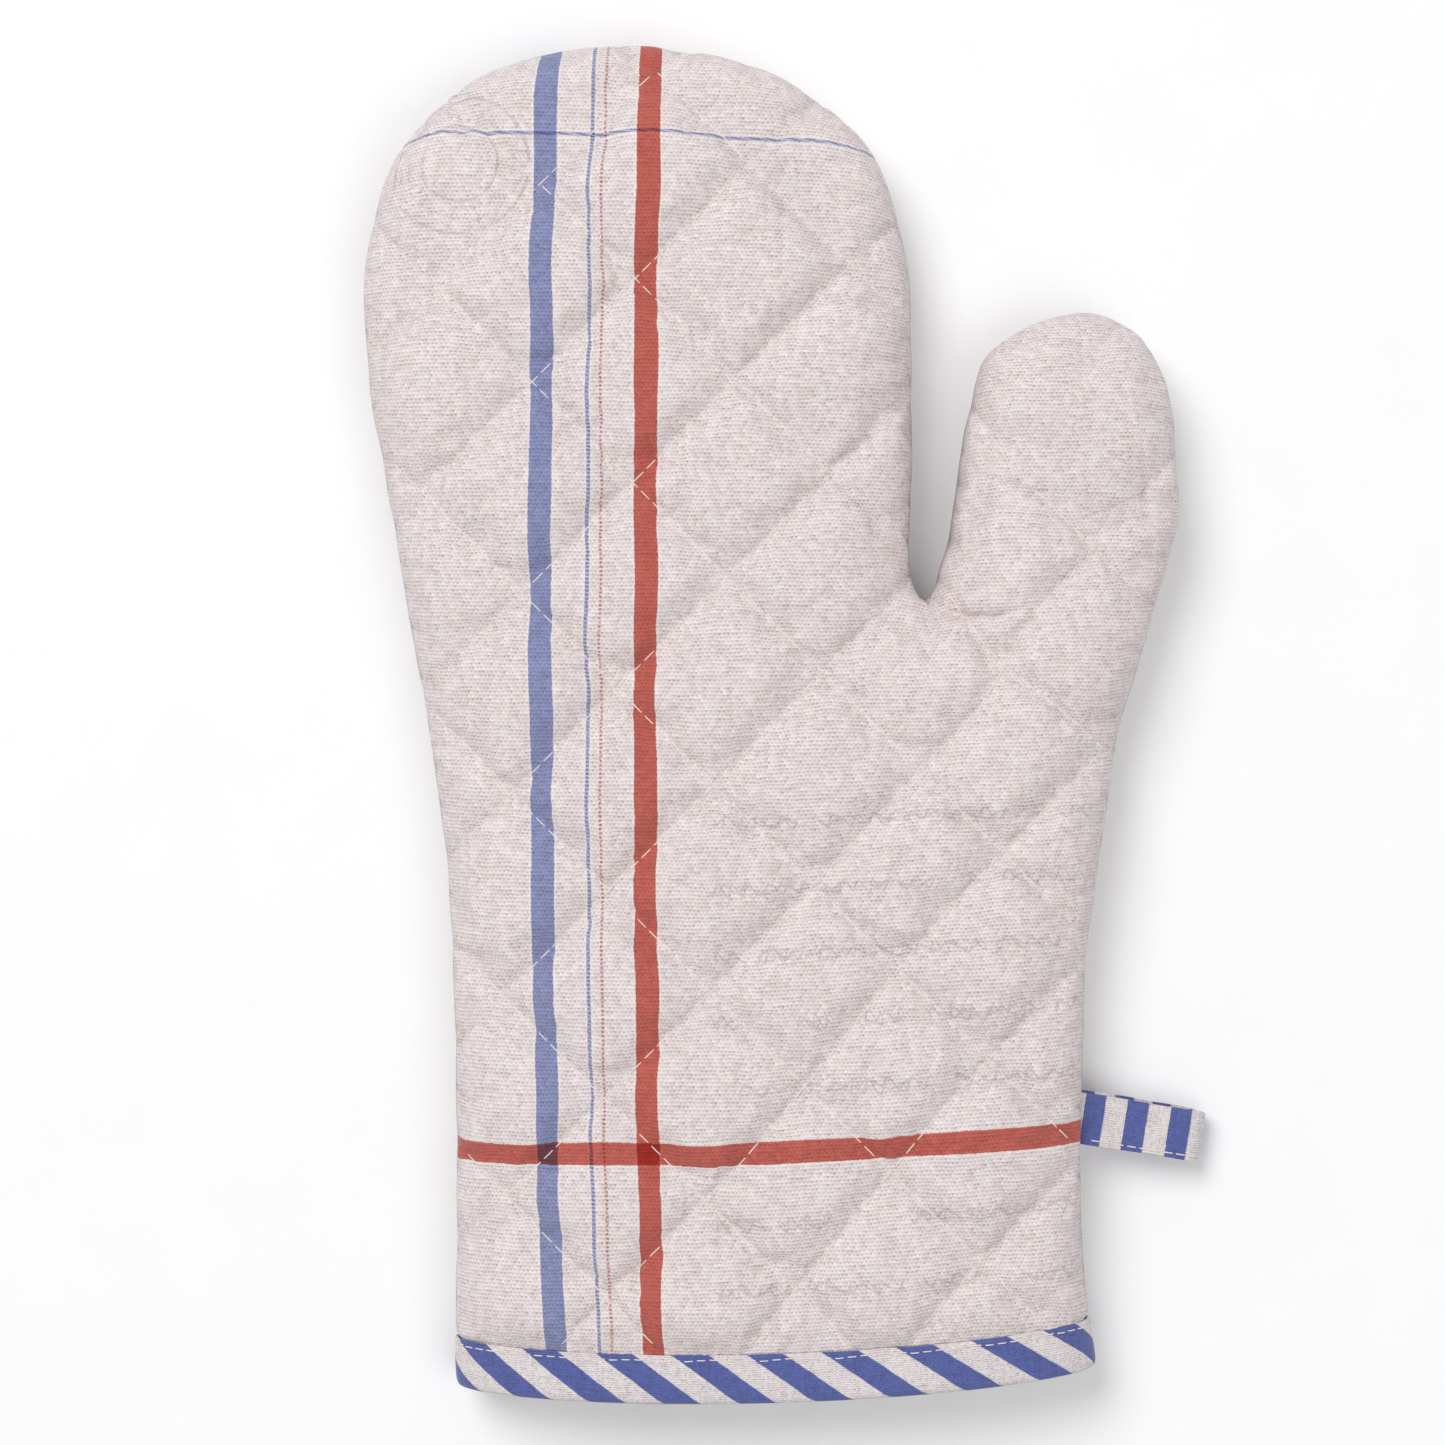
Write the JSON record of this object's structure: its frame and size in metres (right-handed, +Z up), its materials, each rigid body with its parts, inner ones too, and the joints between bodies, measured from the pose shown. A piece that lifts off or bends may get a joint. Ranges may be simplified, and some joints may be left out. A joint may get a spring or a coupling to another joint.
{
  "type": "oven mitt",
  "caption": "Quilted cotton oven mitt with a thumb: striped print cover, wadding and lining in each panel, bias-bound cuff and a striped hanging loop in the side seam.",
  "frame": {"origin": "centre of the footprint, on the table that the mitt lies on", "axes": "+Z up from the table through the front panel, +Y from the cuff to the fingertips, +X towards the thumb"},
  "size_m": [0.1877, 0.3, 0.028],
  "materials": {
    "printed_linen": "plain-weave linen and cotton with printed blue and red stripes, matte",
    "wadding": "matte white fibre batting",
    "lining": "plain off-white cotton, matte",
    "thread": "off-white sewing thread, slightly shiny",
    "striped_tape": "woven cotton tape with blue and white stripes, matte"
  },
  "bodies": {
    "mitt": {"front_cover": "printed_linen", "front_wadding": "wadding", "front_lining": "lining", "front_quilting_thread": "thread", "front_thumb_thread": "thread", "back_cover": "printed_linen", "back_wadding": "wadding", "back_lining": "lining", "back_quilting_thread": "thread", "back_thumb_thread": "thread", "side_seam_thread": "thread", "cuff_binding": "striped_tape", "cuff_topstitch": "thread"},
    "loop": {"hanging_loop": "striped_tape", "loop_edge_stitch": "thread"}
  },
  "joints": [
    {"name": "loop_swing", "type": "hinge", "parent": "mitt", "child": "loop", "pos_m": [0.0668, -0.088, 0.011], "axis": [0, -1, 0], "range_deg": [0, 100]}
  ]
}
